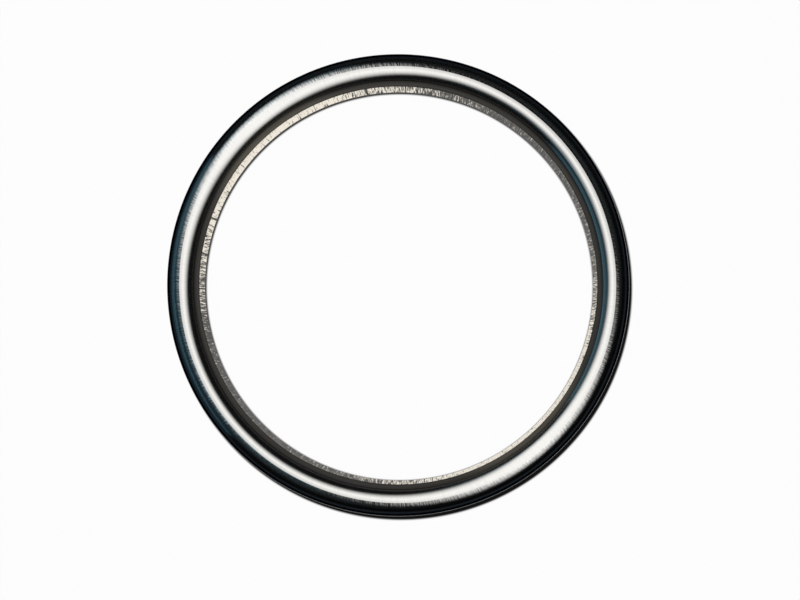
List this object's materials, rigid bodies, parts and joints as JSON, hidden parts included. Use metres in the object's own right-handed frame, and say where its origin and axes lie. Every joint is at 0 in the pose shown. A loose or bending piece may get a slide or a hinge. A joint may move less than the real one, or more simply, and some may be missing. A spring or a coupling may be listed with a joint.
{
  "type": "ring joint gasket",
  "caption": "Solid turned steel ring of oval section: straight bore and rim walls run into full-round crowns that seat in the ring grooves of a flanged pipe joint.",
  "frame": {"origin": "on the ring's axis, at the middle of its height, which is the centre of its box and of its mass", "axes": "+Z along the ring's axis, out of the upper crown; X and Y are any two directions across the ring, which is a body of revolution"},
  "size_m": [0.1604, 0.1604, 0.0174],
  "materials": {
    "turned_steel": "form-turned and bright on the crowns, with fine chatter outside the crown line, and rough-bored on the inner wall"
  },
  "bodies": {
    "root": {"gasket_ring": "turned_steel"}
  },
  "joints": []
}
